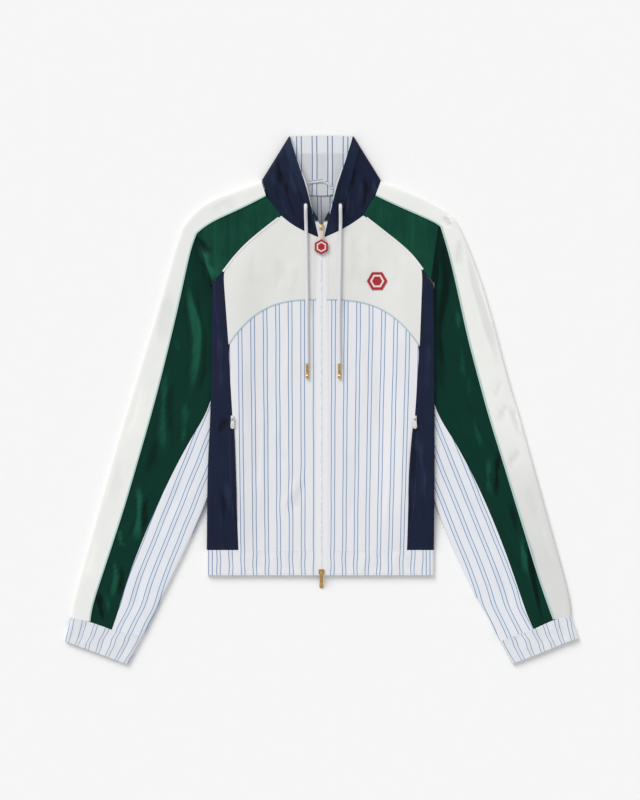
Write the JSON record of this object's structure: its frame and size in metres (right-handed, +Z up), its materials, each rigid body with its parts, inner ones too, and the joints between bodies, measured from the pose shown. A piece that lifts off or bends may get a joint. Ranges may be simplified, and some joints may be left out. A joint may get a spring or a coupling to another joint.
{
  "type": "track jacket",
  "caption": "Zipped track jacket lying flat on its back, with a folded stand collar, raglan sleeves, striped panels, elastic cuffs and hem, and two hanging drawcords.",
  "frame": {"origin": "on the surface it lies on, under the middle of the outline", "axes": "+Z up from the surface, +Y from the hem to the collar, +X to the right seen from above, which is the wearer's left"},
  "size_m": [0.758, 0.778, 0.0262],
  "materials": {
    "off_white_cloth": "smooth woven, satin",
    "green_cloth": "shiny woven satin",
    "navy_cloth": "shiny woven satin",
    "striped_cloth": "cotton shirting, matt",
    "piping": "satin",
    "white_tape": "woven tape",
    "zip_teeth": "moulded",
    "gold_metal": "polished",
    "white_metal": "painted",
    "cord": "braided, matt",
    "red_badge": "felted",
    "cream_strap": "woven"
  },
  "bodies": {
    "root": {"yoke_left": "off_white_cloth", "yoke_right": "off_white_cloth", "sleeve_strip_left": "off_white_cloth", "sleeve_strip_right": "off_white_cloth", "sleeve_front_left": "green_cloth", "sleeve_front_right": "green_cloth", "sleeve_back_left": "green_cloth", "sleeve_back_right": "green_cloth", "side_left": "navy_cloth", "side_right": "navy_cloth", "pocket_zip_left": "navy_cloth", "pocket_zip_right": "navy_cloth", "eyelet_left": "navy_cloth", "eyelet_right": "navy_cloth", "collar_outer": "navy_cloth", "front_left": "striped_cloth", "front_right": "striped_cloth", "sleeve_under_left": "striped_cloth", "sleeve_under_right": "striped_cloth", "cuff_left": "striped_cloth", "cuff_right": "striped_cloth", "hem_front_left": "striped_cloth", "hem_front_right": "striped_cloth", "back": "striped_cloth", "hem_back": "striped_cloth", "collar_inner": "striped_cloth", "piping_yoke_left": "piping", "piping_yoke_right": "piping", "piping_chest_left": "piping", "piping_chest_right": "piping", "piping_sleeve_left": "piping", "piping_sleeve_right": "piping", "zip_tape_left": "white_tape", "zip_tape_right": "white_tape", "hanger_loop": "white_tape", "zip_teeth": "zip_teeth", "cord_tip_left": "gold_metal", "cord_tip_right": "gold_metal", "slider_top": "gold_metal", "slider_bottom": "gold_metal", "pocket_slider_left": "white_metal", "pocket_slider_right": "white_metal", "drawcord_left": "cord", "drawcord_right": "cord", "chest_patch": "red_badge"},
    "top_pull": {"pull_top_frame": "gold_metal", "pull_top_strap": "cream_strap", "pull_top_badge": "red_badge"},
    "bottom_pull": {"pull_bottom": "gold_metal"},
    "pocket_pull_left": {"pocket_pull_left": "white_metal"},
    "pocket_pull_right": {"pocket_pull_right": "white_metal"}
  },
  "joints": [
    {"name": "top_pull_hinge", "type": "hinge", "parent": "root", "child": "top_pull", "pos_m": [0, 0.254, 0.0168], "axis": [-1, 0, 0], "range_deg": [0, 110]},
    {"name": "bottom_pull_hinge", "type": "hinge", "parent": "root", "child": "bottom_pull", "pos_m": [0, -0.255, 0.012], "axis": [-1, 0, 0], "range_deg": [0, 150]},
    {"name": "pocket_pull_left_hinge", "type": "hinge", "parent": "root", "child": "pocket_pull_left", "pos_m": [-0.13044, -0.026, 0.0178], "axis": [-1, 0, 0], "range_deg": [0, 150]},
    {"name": "pocket_pull_right_hinge", "type": "hinge", "parent": "root", "child": "pocket_pull_right", "pos_m": [0.13739, -0.026, 0.0178], "axis": [-1, 0, 0], "range_deg": [0, 150]}
  ]
}
